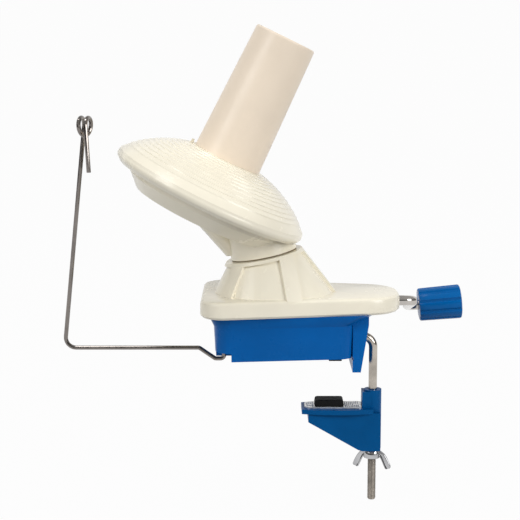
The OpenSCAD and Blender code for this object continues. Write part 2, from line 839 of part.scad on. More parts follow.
module crank_knob() {
    round_r = 2;
    color(blue)
    on_pin(knob_gap) difference() {
        intersection() {
            linear_extrude(knob_l) polygon(flute_outline(knob_d / 2));
            rotate_extrude() polygon(concat(
                [[0, 0]],
                arc_points([knob_d / 2 - round_r, round_r], round_r, -90, 0, 4),
                arc_points([knob_d / 2 - round_r, knob_l - round_r], round_r, 0, 90, 4),
                [[0, knob_l]]));
        }
        translate([0, 0, -1]) cylinder(d = crank_d + 2 * run_fit, h = knob_l + 2);
        translate([0, 0, knob_l - cap_recess]) cylinder(d = crank_d + 7, h = cap_recess + 1);
    }
}

module knob_retainer() {
    color(steel)
    on_pin(knob_gap + knob_l - cap_recess + end_gap)
        tube(crank_d / 2 + 2.6, crank_d / 2 + set_fit, retainer_h);
}

// Rotor: a dish on an offset neck, with the pinion plate under the tower's top

shoulder_h = washer_t + run_fit;
journal_low = -tower_top_t - end_gap;
dish_wall = 2.5;
dish_rim = 1;
dish_flare = 1.3;
dish_cut = 8.5;
flange_clear = 1;
neck_cut = lip_low - flange_clear;
boss_d = 18;
boss_top = 11;
bush_d = 12;
clip_recess = 3.6;
neck_wall = 2.6;
journal_wall = 4;

module dish_body(inset) {
    r = dish_d / 2 - inset;
    bottom = -dish_depth + inset;
    rim = dish_rim + (inset > 0 ? 1 : 0);
    rotate_extrude() polygon([
        [0, bottom], [r - dish_flare - dish_cut, bottom], [r - dish_flare, bottom + dish_cut],
        [r, rim], [0, rim]]);
}

// Everything under a plane square to the flange's axis
module below_flange(s) {
    on_flange(s - 2 * flange_d) translate([-flange_d, -flange_d, 0]) cube(2 * flange_d);
}

gusset_h = 4.4;
gusset_out = 26.4;
gusset_low_r = 8;
gusset_high_r = 14;
gusset_reach = 16;
gusset_roof = 0.6;
// The wall runs flat under the dish, so the hollow draws in further there
gusset_lip = 3.4 * neck_wall;

module gusset(inset, high_inset, rise) {
    hull() {
        on_rotor(gusset_h + inset) translate([-gusset_out + gusset_low_r, 0, 0])
            cylinder(r = gusset_low_r - inset, h = slice, $fn = 32);
        on_flange(-dish_depth + rise) translate([gusset_high_r - gusset_reach, 0, 0])
            cylinder(r = gusset_high_r - high_inset, h = slice, $fn = 48);
    }
}

module rotor_shell() {
    color(cream)
    difference() {
        union() {
            difference() {
                union() {
                    on_flange() dish_body(0);
                    intersection() {
                        on_rotor(shoulder_h) cylinder(d = neck_d, h = apex_h);
                        below_flange(neck_cut);
                    }
                    gusset(0, 0, dish_wall / 2);
                    on_rotor(journal_low) cylinder(d = journal_d, h = shoulder_h + neck_wall - journal_low);
                }
                on_flange() dish_body(dish_wall);
                intersection() {
                    on_rotor(shoulder_h + neck_wall) cylinder(d = neck_d - 2 * neck_wall, h = apex_h);
                    below_flange(neck_cut - neck_wall);
                }
                gusset(neck_wall, gusset_lip, -gusset_roof);
                on_rotor(journal_low - 1)
                    cylinder(d = journal_d - 2 * journal_wall, h = shoulder_h + neck_wall - journal_low + 2);
            }
            on_flange(-dish_depth) cylinder(d = boss_d, h = dish_depth + boss_top);
        }
        on_flange(-dish_depth - 1) cylinder(d = boss_d - 3, h = clip_recess + 1);
        on_flange(-dish_depth) cylinder(d = bush_d + 2 * set_fit, h = dish_depth + boss_top + 1);
        for (p = rotor_screw_at)
            on_rotor(journal_low - 1) translate(p)
                cylinder(d = rotor_screw_d + 2 * set_fit, h = rotor_screw_l + 2);
    }
}

plate_t = 3;
plate_d = journal_d + 4;
pinion_out = crank_gear_reach + 1.4;
pinion_in = crank_gear_in - 0.4;
plate_low = journal_low - plate_t;
pinion_high = meet_h + pinion_out * cos(pinion_cone);
pinion_low = meet_h + pinion_in * cos(pinion_cone);
rotor_screw_d = 2.2;
rotor_screw_l = 4;
rotor_screw_r = journal_d / 2 - journal_wall / 2;
rotor_screw_at = [for (a = [60:120:300]) rotor_screw_r * [cos(a), sin(a)]];

module rotor_pinion() {
    m = 2 * sin(pinion_cone) / pinion_teeth;
    root_r = pinion_in * sin(pinion_cone - atan(m * (crank_add + tip_clear)));
    color(nylon)
    difference() {
        union() {
            on_rotor(meet_h) rotate([0, 0, 180 / pinion_teeth])
                bevel_ring(pinion_teeth, pinion_cone, pinion_in, pinion_out,
                           pinion_add, crank_add + tip_clear,
                           [root_r - 0.5, pinion_low - meet_h], [root_r - 0.5, pinion_high - meet_h]);
            on_rotor(pinion_low) cylinder(r = root_r - 0.2, h = plate_low - pinion_low + 1);
            on_rotor(pinion_high - 0.2) cylinder(r = root_r + 0.6, h = plate_low - pinion_high + 1);
            on_rotor(plate_low) cylinder(d = plate_d, h = plate_t);
        }
        on_rotor(pinion_low - 1) cylinder(d = post_d + 2 * run_fit, h = plate_low - pinion_low + plate_t + 2);
        for (p = rotor_screw_at)
            on_rotor(plate_low - 1) translate(p) cylinder(d = rotor_screw_d + 0.3, h = plate_t + 2);
    }
}

module rotor_screws() {
    color(steel)
    for (p = rotor_screw_at)
        on_rotor(plate_low) translate(p) screw(rotor_screw_d, plate_t + rotor_screw_l, 4, 1);
}

bush_low = -dish_depth + clip_recess;
spindle_bush_l = 8;

module spindle_bushes() {
    color(brass_tone)
    for (s = [bush_low, boss_top - spindle_bush_l])
        on_flange(s) tube(bush_d / 2, spindle_d / 2 + run_fit, spindle_bush_l);
}

// Flange: a stepped dome over the dish

dome_low = 4.5;
seat_r = bobbin_base_d / 2 + 1.2;
spigot_r = bobbin_base_d / 2 - bobbin_wall - run_fit;
hub_low = 13;
sleeve_low = -4;
sleeve_r_out = 16;
sleeve_r_in = 11;

dome_start = [seat_r, seat_h - 0.4];
dome_end = [rim_r - 0.6, dome_low];
dome_n = 30;
dome_line = bulge_points(dome_start, dome_end, dome_bulge, dome_n);
smooth_from = ceil(dome_n * step_cover);

// Height of the dome's smooth form at a share of its arc
function dome_at(share) = bulge_points(dome_start, dome_end, dome_bulge, 200)[round(share * 200)];

// Terraces: a gentle tread and a steep riser for each step
step_tread = 0.86;
step_rise = 0.5;
step_points = [for (i = [0:step_count - 1])
    let (p = dome_at(step_cover * i / step_count), q = dome_at(step_cover * (i + 1) / step_count))
    let (d = unit(q - p))
    each [p, p + step_tread * (q - p) + step_rise * [-d[1], d[0]]]];

rim_line = concat(
    arc_points([rim_r - rim_round, lip_low + rim_round + 1], rim_round, 25, -60, 7),
    [[rim_r - rim_round, lip_low]]);
under_line = bulge_points(dome_start - [0, flange_wall], dome_end - [2.6, flange_wall], dome_bulge, 16);

flange_profile = concat(
    [[0, seat_h + spigot_h - 1], [0, seat_h + spigot_h], [spigot_r - 1, seat_h + spigot_h],
     [spigot_r, seat_h + spigot_h - 1], [spigot_r, seat_h], [seat_r, seat_h]],
    step_points,
    [for (i = [smooth_from:dome_n]) dome_line[i]],
    rim_line,
    [[rim_r - rim_round - 2, lip_low], [rim_r - rim_round - 2, lip_low + 3]],
    [for (i = [len(under_line) - 1:-1:0]) under_line[i]],
    [[sleeve_r_out, seat_h - flange_wall - 0.4], [sleeve_r_out, sleeve_low], [sleeve_r_in, sleeve_low],
     [sleeve_r_in, hub_low], [spindle_d / 2 + set_fit, hub_low],
     [spindle_d / 2 + set_fit, seat_h + spigot_h - 4], [0, seat_h + spigot_h - 4]]);

catch_at = seat_r + 1.6;

module flange() {
    color(cream)
    difference() {
        union() {
            on_flange() rotate_extrude() polygon(flange_profile);
            // Catch for the yarn's end
            on_flange(seat_h - 3) translate([-catch_at - 1, -1.6, 0]) cube([2, 3.2, 5]);
        }
        for (p = planet_screw_at)
            on_flange(sleeve_low - 1) translate(p)
                cylinder(d = planet_screw_d + 2 * set_fit, h = planet_screw_l + 1.5);
    }
}

spindle_low = -dish_depth + 0.8;

module spindle() {
    color(steel)
    on_flange(spindle_low) difference() {
        cylinder(d = spindle_d, h = seat_h + spigot_h - 4.2 - spindle_low);
        translate([0, 0, clip_groove]) tube(spindle_d, spindle_d / 2 - 0.8, clip_t + 2 * set_fit);
    }
}

clip_groove = 0.9;
clip_t = 1;

module spindle_clip() {
    color(steel)
    on_flange(spindle_low + clip_groove + set_fit)
        tube(spindle_d / 2 + 2, spindle_d / 2 - 0.8 + set_fit, clip_t);
}

module spindle_washer() {
    color(nylon)
    on_flange(boss_top + end_gap)
        tube(spindle_d / 2 + 4, spindle_d / 2 + set_fit, hub_low - boss_top - end_gap);
}

planet_in = planet_reach - face_w;
planet_back = flange_drop - planet_reach * cos(planet_cone) - 3.2;
planet_screw_d = 2.2;
hub_step = 0.4;
planet_screw_l = 6;
planet_screw_at = [for (i = [0:2]) (sleeve_r_in + sleeve_r_out) / 2 * [cos(120 * i), sin(120 * i)]];

module planet_gear() {
    m = 2 * sin(planet_cone) / planet_teeth;
    root = planet_cone - atan(m * (sun_add + tip_clear));
    hub_r = planet_in * sin(root) - 0.6;
    top = flange_drop - planet_in * cos(root);
    color(nylon)
    difference() {
        union() {
            on_flange(flange_drop) rotate([180, 0, 0])
                bevel_ring(planet_teeth, planet_cone, planet_in, planet_reach,
                           planet_add, sun_add + tip_clear,
                           [hub_r - 1.5, flange_drop - top],
                           [hub_r - 1.5, flange_drop - planet_back - hub_step]);
            on_flange(planet_back) cylinder(r = hub_r, h = top - planet_back - hub_step);
        }
        on_flange(planet_back - 1) cylinder(d = boss_d + 1.6, h = 30);
        on_flange(sleeve_low) cylinder(r = sleeve_r_out + set_fit, h = 30);
        for (p = planet_screw_at)
            on_flange(planet_back - 1) translate(p) cylinder(d = planet_screw_d + 0.3, h = 20);
    }
}

module planet_screws() {
    color(steel)
    for (p = planet_screw_at)
        on_flange(planet_back) translate(p)
            screw(planet_screw_d, sleeve_low - planet_back + planet_screw_l, 4, 1);
}

// Bobbin: a tapered tube with a closed top

notch_w = 2;
notch_deep = 7;

module bobbin() {
    base_r = bobbin_base_d / 2;
    top_r = bobbin_top_d / 2;
    round_r = 1.6;
    inner_r = base_r - bobbin_wall;
    color(pink_cream)
    difference() {
        on_flange(seat_h + run_fit) rotate_extrude() polygon(concat(
            [[inner_r, 0], [base_r, 0]],
            arc_points([top_r - round_r, bobbin_h - round_r], round_r, 0, 90, 5),
            [[0, bobbin_h], [0, bobbin_h - bobbin_wall], [top_r - bobbin_wall, bobbin_h - bobbin_wall],
             [inner_r, spigot_h + 2]]));
        // Notch that holds the yarn's end
        on_flange(seat_h + bobbin_h - notch_deep) translate([-top_r - bobbin_wall, -notch_w / 2, 0])
            cube([2.5 * bobbin_wall, notch_w, 2 * notch_deep]);
    }
}

// Clamp bracket, drawn at the gap shown

pad_top = -clamp_gap;
plate_top = pad_top - pad_t;
jaw_top = plate_top - jaw_plate_t;
sleeve_top = jaw_top + sleeve_rise;
sleeve_low_z = jaw_top - sleeve_fall;
jaw_tip = rod_reach - jaw_reach;
fence_t = 3;
fence_x = rod_reach - sleeve_d / 2 - 1.6;
jaw_tip_t = 9.4;
web_start = 4.6;
fence_w = 12;

// Half of the jaw's plan, wide in the middle and narrow at both ends
function jaw_half_w(share) = jaw_w / 2 * (0.5 + 0.5 * pow(sin(180 * (0.12 + 0.76 * share)), 0.7));
jaw_n = 12;
jaw_span = rod_reach - jaw_tip;
jaw_plan = concat(
    [for (i = [0:jaw_n]) [jaw_tip + jaw_span * i / jaw_n, -jaw_half_w(i / jaw_n)]],
    [for (i = [jaw_n:-1:0]) [jaw_tip + jaw_span * i / jaw_n, jaw_half_w(i / jaw_n)]]);

web_end = rod_reach + sleeve_d / 2 - 1;
web_profile = [
    [jaw_tip + web_start, jaw_top - slice], [jaw_tip + web_start, jaw_top - jaw_tip_t],
    [fence_x - 3, sleeve_low_z + 1], [fence_x, sleeve_low_z], [web_end, sleeve_low_z],
    [web_end, jaw_top - jaw_t]
];

module clamp_bracket() {
    color(dark_blue)
    difference() {
        union() {
            translate([0, 0, jaw_top - jaw_t]) linear_extrude(jaw_t) polygon(jaw_plan);
            rotate([90, 0, 0]) translate([0, 0, -web_t / 2]) linear_extrude(web_t) polygon(web_profile);
            translate([rod_reach, 0, sleeve_low_z]) cylinder(d = sleeve_d, h = sleeve_top - sleeve_low_z);
            translate([fence_x, -fence_w / 2, jaw_top - 1])
                cube([sleeve_d / 2, fence_w, sleeve_rise]);
        }
        translate([rod_reach, 0, sleeve_low_z - 1])
            cylinder(d = rod_d + 2 * run_fit, h = sleeve_top - sleeve_low_z + 2);
        for (x = rivet_at)
            translate([x, 0, jaw_top - rivet_l]) cylinder(d = rivet_d + 2 * set_fit, h = rivet_l + 1);
    }
}

plate_x0 = jaw_tip + 2;
plate_x1 = fence_x - 0.3;
jaw_rim = 4.5;
jaw_plate_w = jaw_w - 2 * jaw_rim;
rivet_d = 3;
rivet_l = 3;
rivet_in = 4;
rivet_at = [plate_x0 + rivet_in, plate_x1 - rivet_in];
pad_in = 7;
pad_x = plate_x0 + pad_in;
plate_corner = [5, 2];

module jaw_plate() {
    color(steel)
    translate([0, 0, jaw_top]) difference() {
        linear_extrude(jaw_plate_t)
            polygon(outline(plate_x0, plate_x1, jaw_plate_w - 2, jaw_plate_w,
                            plate_corner[0], plate_corner[1]));
        for (x = rivet_at) translate([x, 0, -1]) cylinder(d = rivet_d + 2 * set_fit, h = jaw_plate_t + 2);
    }
}

module jaw_rivets() {
    color(steel)
    for (x = rivet_at)
        translate([x, 0, jaw_top - rivet_l]) cylinder(d = rivet_d, h = rivet_l + jaw_plate_t);
}

module jaw_pad() {
    color(rubber_black)
    translate([pad_x, 0, plate_top]) linear_extrude(pad_t)
        polygon(outline(0, pad_l, pad_w, pad_w, 1.5, 1.5));
}

nut_washer_t = 1;

module clamp_washer() {
    color(steel)
    translate([rod_reach, 0, sleeve_low_z - nut_washer_t])
        tube(rod_d / 2 + 3, rod_d / 2 + run_fit, nut_washer_t);
}

// Wing nut, wings hanging down

nut_top = sleeve_low_z - nut_washer_t - 0.1;
nut_h = 6;
hub_top_r = rod_d / 2 + 2.4;
hub_low_r = rod_d / 2 + 3.2;
wing_t = 2.2;
wing_turn = -20;
wing_in = rod_d / 2 + 1;

wing_profile = [
    [wing_in, -nut_h], [wing_in, -1.5], [hub_low_r + 1, -2.5], [wing_span / 2 - 1, -nut_h - 0.5],
    [wing_span / 2, -nut_h - 3], [wing_span / 2 - 0.8, -nut_h - wing_drop + 2.5],
    [wing_span / 2 - 3, -nut_h - wing_drop + 2.8], [wing_span / 2 - 5.5, -nut_h - 2.5], [hub_low_r, -nut_h]
];

module wing_nut() {
    color(steel)
    translate([rod_reach, 0, nut_top]) rotate([0, 0, wing_turn]) difference() {
        union() {
            translate([0, 0, -nut_h]) cylinder(r1 = hub_low_r, r2 = hub_top_r, h = nut_h);
            for (a = [0, 180])
                rotate([0, 0, a]) rotate([90, 0, 0]) translate([0, 0, -wing_t / 2])
                    linear_extrude(wing_t) polygon(wing_profile);
        }
        translate([0, 0, -nut_h - wing_drop - 1])
            cylinder(d = rod_d + 2 * run_fit, h = nut_h + wing_drop + 2);
    }
}

// Yarn guide: one wire with a peg, an arm, an upright and a coiled eye

guide_low_z = wire_d / 2 + 0.9;
eye_r = eye_d / 2;
upright_x = -guide_x - guide_reach;
eye_axis = [cos(eye_turn), -sin(eye_turn), 0];
eye_side = [sin(eye_turn), cos(eye_turn), 0];
eye_start = [upright_x + guide_lean, -guide_y, guide_eye_z];
eye_mid = eye_start - eye_r * eye_side;
up_dir = unit([guide_lean, 0, guide_eye_z - guide_arm_z]);
rise_run = 11;
peg_bend_r = 2.6;
peg_run = 6.2;

// The eye: one and a half turns, then a straight tail
eye_turns = 1.5;
turn_rings = 24;
eye_rings = eye_turns * turn_rings;

function eye_point(i) =
    let (a = 360 * i / turn_rings)
    eye_mid + eye_pitch * i / turn_rings * eye_axis + eye_r * (cos(a) * eye_side + [0, 0, sin(a)]);

eye_line = [for (i = [0:eye_rings]) eye_point(i)];
tail_lean = 3;
tail_dir = [sin(tail_lean), 0, -cos(tail_lean)];
tail_end = eye_line[eye_rings] + tail_l * tail_dir;
peg_low = [-guide_x, -guide_y, guide_low_z];
rise_foot = peg_low - [peg_run, 0, 0];
arm_start = [rise_foot[0] - rise_run, -guide_y, guide_arm_z];
guide_route = [
    peg_low + [0, 0, peg_bend_r + bend_lap], peg_low, rise_foot, arm_start,
    [upright_x, -guide_y, guide_arm_z], eye_start - 1.5 * up_dir
];
wire_line = concat(
    round_route(guide_route, [peg_bend_r, peg_bend_r, peg_bend_r, guide_bend_r]),
    eye_line,
    [tail_end]);

// Least gap between points of the eye that lie more than a quarter turn apart, and from the tail
apart = turn_rings / 4;
coil_gap = min([for (i = [0:eye_rings - apart], j = [i + apart:eye_rings]) norm(eye_line[i] - eye_line[j])]);
tail_gap = min([for (i = [0:eye_rings - apart], t = [0:tail_l])
    norm(eye_line[i] - eye_line[eye_rings] - t * tail_dir)]);
echo(eye_least_gap = min(coil_gap, tail_gap) - wire_d);

module yarn_guide() {
    color(steel) {
        bar(peg_low + [0, 0, peg_bend_r], [-guide_x, -guide_y, peg_top], wire_d);
        swept_bar(wire_line, sweep_share * wire_d, 12, [0, 1, 0]);
    }
}

base_housing();
top_cover();
seat_strips();
cover_screws();
gear_frame();
frame_screws();
crank_bush_inner();
crank_bush_outer();
sun_post();
sun_gear();
sun_screw();
thrust_washer();
clamp_rod();
rod_retainer();
crank_rod();
crank_gear();
crank_gear_pin();
crank_collar();
knob_retainer();
crank_knob();
rotor_shell();
rotor_pinion();
rotor_screws();
spindle_bushes();
flange();
spindle();
planet_gear();
planet_screws();
spindle_washer();
spindle_clip();
bobbin();
clamp_bracket();
jaw_plate();
jaw_pad();
jaw_rivets();
clamp_washer();
wing_nut();
yarn_guide();
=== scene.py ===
"""Looks of the yarn ball winder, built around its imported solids."""
import json
import math

import bmesh
import bpy
from mathutils import Matrix, Vector


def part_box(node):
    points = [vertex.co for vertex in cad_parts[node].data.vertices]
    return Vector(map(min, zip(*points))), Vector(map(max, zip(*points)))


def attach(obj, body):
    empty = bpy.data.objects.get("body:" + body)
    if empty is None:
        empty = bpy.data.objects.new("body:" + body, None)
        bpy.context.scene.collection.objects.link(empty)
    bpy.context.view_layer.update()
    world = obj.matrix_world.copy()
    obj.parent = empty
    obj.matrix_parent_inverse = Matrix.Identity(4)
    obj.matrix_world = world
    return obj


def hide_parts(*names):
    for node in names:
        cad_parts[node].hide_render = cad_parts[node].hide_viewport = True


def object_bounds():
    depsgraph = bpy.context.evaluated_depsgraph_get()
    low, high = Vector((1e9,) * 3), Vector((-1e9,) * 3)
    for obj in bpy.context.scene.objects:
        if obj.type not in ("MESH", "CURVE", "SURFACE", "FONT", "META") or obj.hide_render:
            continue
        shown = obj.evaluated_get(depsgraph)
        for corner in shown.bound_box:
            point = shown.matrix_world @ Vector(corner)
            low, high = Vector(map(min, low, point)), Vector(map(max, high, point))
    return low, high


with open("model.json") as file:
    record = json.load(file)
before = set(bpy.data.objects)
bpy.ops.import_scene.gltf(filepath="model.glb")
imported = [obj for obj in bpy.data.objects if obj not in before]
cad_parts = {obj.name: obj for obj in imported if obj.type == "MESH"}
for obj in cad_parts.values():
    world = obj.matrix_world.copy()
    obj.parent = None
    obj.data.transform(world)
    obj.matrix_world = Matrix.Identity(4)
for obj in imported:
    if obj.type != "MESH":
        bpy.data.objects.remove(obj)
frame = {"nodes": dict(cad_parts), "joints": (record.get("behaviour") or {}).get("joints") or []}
cad_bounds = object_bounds()

# Sizes of pieces are in millimetres, and MM brings them to metres. All else is in metres and degrees
MM = 0.001


def rad(degrees):
    return math.radians(degrees)


def box_mm(node):
    """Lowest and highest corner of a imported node, in millimetres."""
    low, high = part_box(node)
    return low / MM, high / MM


def joint(name):
    """A packed joint, by its name."""
    return next(j for j in frame["joints"] if j["name"] == name)


# Material helpers

def node_mat(name):
    """A new node material, with its tree, shader and texture coordinates."""
    mat = bpy.data.materials.new(name)
    mat.use_nodes = True
    tree = mat.node_tree
    shader = tree.nodes["Principled BSDF"]
    coord = tree.nodes.new("ShaderNodeTexCoord")
    return mat, tree, shader, coord


def noise(tree, coord, scale, detail, rough=0.55):
    """The value of a noise fixed to the object, whose scale is in cells per metre."""
    n = tree.nodes.new("ShaderNodeTexNoise")
    n.inputs["Scale"].default_value = scale
    n.inputs["Detail"].default_value = detail
    n.inputs["Roughness"].default_value = rough
    tree.links.new(coord.outputs["Object"], n.inputs["Vector"])
    return n.outputs["Fac"]


def rgba(value):
    """A colour with alpha, from a colour or from one grey level."""
    return (*value, 1) if isinstance(value, tuple) else (value, value, value, 1)


def vary(tree, source, socket, low, high, at=(0.35, 0.65)):
    """Takes a socket from low to high as the source rises between two levels."""
    ramp = tree.nodes.new("ShaderNodeValToRGB")
    for stop, level, value in zip(ramp.color_ramp.elements, at, (low, high)):
        stop.position = level
        stop.color = rgba(value)
    tree.links.new(source, ramp.inputs["Fac"])
    tree.links.new(ramp.outputs["Color"], socket)


def bump(tree, shader, height, strength, distance):
    b = tree.nodes.new("ShaderNodeBump")
    b.inputs["Strength"].default_value = strength
    b.inputs["Distance"].default_value = distance
    tree.links.new(height, b.inputs["Height"])
    tree.links.new(b.outputs["Normal"], shader.inputs["Normal"])


def shade(colour, factor):
    """A colour made lighter or darker, kept from 0 to 1."""
    return tuple(max(0.0, min(1.0, c * factor)) for c in colour)


def plastic(name, colour, rough=0.36, spread=0.05, grain=1600, grain_depth=0.00004, mottle=0.03, level=0.3):
    """Moulded plastic: faint mottling, a fine skin grain and uneven gloss."""
    cloud_scale, smear_scale, grain_strength = 22, 60, 0.25
    mat, tree, shader, coord = node_mat(name)
    cloud = noise(tree, coord, cloud_scale, detail=4)
    vary(tree, cloud, shader.inputs["Base Color"], shade(colour, 1 - mottle), shade(colour, 1 + mottle))
    smear = noise(tree, coord, smear_scale, detail=5, rough=0.65)
    vary(tree, smear, shader.inputs["Roughness"], rough - spread, rough + spread)
    skin = noise(tree, coord, grain, detail=2)
    bump(tree, shader, skin, grain_strength, grain_depth)
    shader.inputs["Specular IOR Level"].default_value = level
    return mat


def metal(name, colour, rough=0.28, spread=0.08, scale=300, wear=0.15):
    """Plated steel: fine marks, cloudy plating and uneven gloss."""
    cloud_scale, mark_strength, mark_depth = 90, 0.12, 0.00005
    mat, tree, shader, coord = node_mat(name)
    cloud = noise(tree, coord, cloud_scale, detail=4)
    vary(tree, cloud, shader.inputs["Base Color"], shade(colour, 1 - wear), shade(colour, 1 + wear / 2))
    marks = noise(tree, coord, scale, detail=4, rough=0.5)
    vary(tree, marks, shader.inputs["Roughness"], rough - spread, rough + spread)
    bump(tree, shader, marks, mark_strength, mark_depth)
    shader.inputs["Metallic"].default_value = 1.0
    return mat


def rubber(name, colour):
    """Rubber: dull, finely pitted, with a little dust."""
    dust_scale, dust_factor, dust_levels = 260, 2.2, (0.45, 0.8)
    pit_scale, pit_strength, pit_depth = 2400, 0.35, 0.00008
    clean_rough, dusty_rough, level = 0.62, 0.82, 0.15
    mat, tree, shader, coord = node_mat(name)
    dust = noise(tree, coord, dust_scale, detail=5)
    vary(tree, dust, shader.inputs["Base Color"], colour, shade(colour, dust_factor), dust_levels)
    vary(tree, dust, shader.inputs["Roughness"], clean_rough, dusty_rough)
    pits = noise(tree, coord, pit_scale, detail=2)
    bump(tree, shader, pits, pit_strength, pit_depth)
    shader.inputs["Specular IOR Level"].default_value = level
    return mat


# Materials and the nodes that wear them

CREAM = plastic("cream_plastic", (0.9, 0.845, 0.7), 0.24, 0.04, level=0.5)
BOBBIN = plastic("bobbin_plastic", (0.87, 0.75, 0.61), 0.36)
BLUE = plastic("blue_plastic", (0.0, 0.11, 0.4), 0.3, mottle=0.08, level=0.1)
KNOB = plastic("knob_plastic", (0.0, 0.112, 0.37), 0.24, mottle=0.06, level=0.14)
BRACKET = plastic("bracket_paint", (0.0, 0.085, 0.27), 0.38, grain=900, grain_depth=0.00008, mottle=0.1,
                  level=0.08)
NYLON = plastic("gear_nylon", (0.8, 0.79, 0.72), 0.45)
# Painted shadow: the thrust washer is dark brown so that it draws the shadow line in the seam between the
# tower and the rotor
SEAM_SHADOW_WASHER = plastic("washer_painted_seam_shadow", (0.2, 0.16, 0.1), 0.6, mottle=0.15)
NICKEL = metal("nickel_rod", (0.52, 0.49, 0.46), 0.12, 0.05, scale=500)
WIRE = metal("dark_wire", (0.22, 0.2, 0.185), 0.15, 0.05, scale=500)
ROD = metal("rod_steel", (0.46, 0.42, 0.37), 0.2, 0.06, scale=700, wear=0.2)
THREAD = metal("thread_steel", (0.31, 0.28, 0.245), 0.5, 0.08, scale=700, wear=0.25)
ZINC = metal("bright_zinc", (0.48, 0.48, 0.49), 0.12, 0.05, scale=400)
PLATE = metal("jaw_zinc", (0.72, 0.72, 0.71), 0.42, scale=400)
BRONZE = metal("bush_bronze", (0.55, 0.38, 0.18), 0.35)
BLACK = rubber("black_rubber", (0.005, 0.005, 0.005))

NODE_MATS = {
    CREAM: ["top_cover", "rotor_shell", "flange"],
    BOBBIN: ["bobbin"],
    BLUE: ["base_housing"],
    KNOB: ["crank_knob"],
    BRACKET: ["clamp_bracket"],
    NYLON: ["gear_frame", "sun_gear", "crank_gear", "rotor_pinion", "planet_gear", "spindle_washer"],
    SEAM_SHADOW_WASHER: ["thrust_washer"],
    WIRE: ["yarn_guide"],
    NICKEL: ["crank_rod", "spindle", "sun_post", "crank_collar", "crank_gear_pin"],
    ROD: ["clamp_rod", "rod_retainer"],
    PLATE: ["jaw_plate"],
    ZINC: ["wing_nut", "clamp_washer", "jaw_rivets", "knob_retainer", "cover_screws", "frame_screws",
           "sun_screw", "rotor_screws", "planet_screws", "spindle_clip"],
    BRONZE: ["crank_bush_inner", "crank_bush_outer", "spindle_bushes"],
    BLACK: ["seat_strips", "jaw_pad"],
}
for mat, names in NODE_MATS.items():
    for name in names:
        for mat_slot in frame["nodes"][name].material_slots:
            mat_slot.material = mat


# Mesh helpers

def add_mesh(name, verts, faces, mat, body, node=None, smooth=True):
    """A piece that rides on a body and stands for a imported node, if one is named."""
    mesh = bpy.data.meshes.new(name)
    mesh.from_pydata([tuple(v) for v in verts], [], faces)
    mesh.materials.append(mat)
    mesh.validate()
    bm = bmesh.new()
    bm.from_mesh(mesh)
    bmesh.ops.recalc_face_normals(bm, faces=bm.faces)
    bm.to_mesh(mesh)
    bm.free()
    for p in mesh.polygons:
        p.use_smooth = smooth
    obj = bpy.data.objects.new(name, mesh)
    bpy.context.scene.collection.objects.link(obj)
    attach(obj, body)
    if node:
        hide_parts(node)
    return obj


def crease(obj, angle):
    """Keeps edges sharper than an angle crisp under smooth shading."""
    bm = bmesh.new()
    bm.from_mesh(obj.data)
    for e in bm.edges:
        if len(e.link_faces) == 2 and e.calc_face_angle() > rad(angle):
            e.smooth = False
    bm.to_mesh(obj.data)
    bm.free()


def ring_faces(count, n, first=0):
    """Faces along a row of rings with n points each, with both ends capped."""
    faces = []
    for i in range(count - 1):
        for k in range(n):
            a, b = first + i * n + k, first + i * n + (k + 1) % n
            faces.append((a, b, b + n, a + n))
    last = first + (count - 1) * n
    faces.append(tuple(first + k for k in range(n - 1, -1, -1)))
    faces.append(tuple(last + k for k in range(n)))
    return faces


def closed_faces(count, n):
    """Faces between rings with n points each, where the last ring joins the first."""
    faces = []
    for i in range(count):
        j = (i + 1) % count
        for k in range(n):
            m = (k + 1) % n
            faces.append((i * n + k, i * n + m, j * n + m, j * n + k))
    return faces


# Clamp rod with its thread

ROD_R, ROD_BEND, ROD_CHAMFER = 3.0, 8.0, 0.5
ROD_SIDES, BEND_STEPS = 36, 14
THREAD_TOP, THREAD_PITCH, THREAD_DEPTH = -52.0, 1.0, 0.42
THREAD_STEPS, THREAD_RUN_IN = 8, 2.0
TIP_L, TIP_CUT, TIP_END_CUT = 1.0, 0.6, 1.0
# Places along the straight runs that keep the faces there short
RUN_X, RUN_Z = -10.0, (-10.0, -30.0, THREAD_TOP + 1)

rod_low, rod_high = box_mm("clamp_rod")
ROD_X, ROD_Z = rod_high.x - ROD_R, rod_high.z - ROD_R


